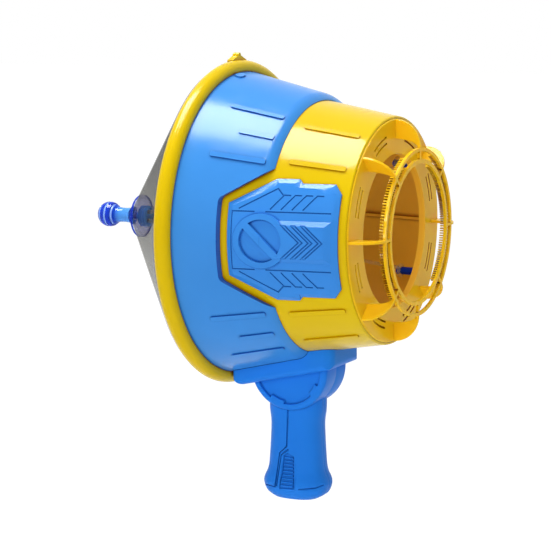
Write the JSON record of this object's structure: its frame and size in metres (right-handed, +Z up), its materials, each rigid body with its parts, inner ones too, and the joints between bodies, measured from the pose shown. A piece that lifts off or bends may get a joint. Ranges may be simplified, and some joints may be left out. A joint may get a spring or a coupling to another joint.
{
  "type": "bubble blower",
  "caption": "Hand-held air cannon for bubbles: tapered drum on a pistol grip, with a pull-back film and knob behind and a toothed double wand ring at the muzzle.",
  "frame": {"origin": "middle of the hand's hold on the grip, on the grip's centre line", "axes": "+X along the barrel to the muzzle, +Y to the left, +Z up along the grip"},
  "size_m": [0.2781, 0.2504, 0.3429],
  "materials": {
    "blue_shell": "moulded gloss",
    "handle_blue": "moulded satin",
    "yellow_shell": "moulded gloss",
    "amber_wand": "moulded gloss",
    "clear_blue": "translucent gloss",
    "film": "translucent film",
    "elastic": "smooth elastic",
    "steel": "plain"
  },
  "bodies": {
    "barrel": {"rear_shell": "blue_shell", "front_shell": "yellow_shell", "rim_ring": "yellow_shell", "membrane": "film", "wand_collar": "amber_wand", "wand_arms": "amber_wand", "wand_ring": "amber_wand", "badge_right": "blue_shell", "badge_left": "blue_shell", "saddle": "handle_blue", "grip_right": "handle_blue", "grip_left": "handle_blue", "shell_screws": "steel", "saddle_screws": "steel", "grip_screws": "steel", "elastic_cord_1": "elastic", "cord_peg_1": "clear_blue", "elastic_cord_2": "elastic", "cord_peg_2": "clear_blue", "elastic_cord_3": "elastic", "cord_peg_3": "clear_blue", "elastic_cord_4": "elastic", "cord_peg_4": "clear_blue"},
    "puller": {"pull_knob": "clear_blue", "film_washer": "clear_blue", "knob_plug": "clear_blue"}
  },
  "joints": [
    {"name": "pull_slide", "type": "slide", "parent": "barrel", "child": "puller", "axis": [1, 0, 0], "range_m": [0, 0.081], "stiffness_N_per_m": 200, "springref_m": 0.124, "deforming": ["membrane", "elastic_cord_1", "elastic_cord_2", "elastic_cord_3", "elastic_cord_4"]}
  ]
}
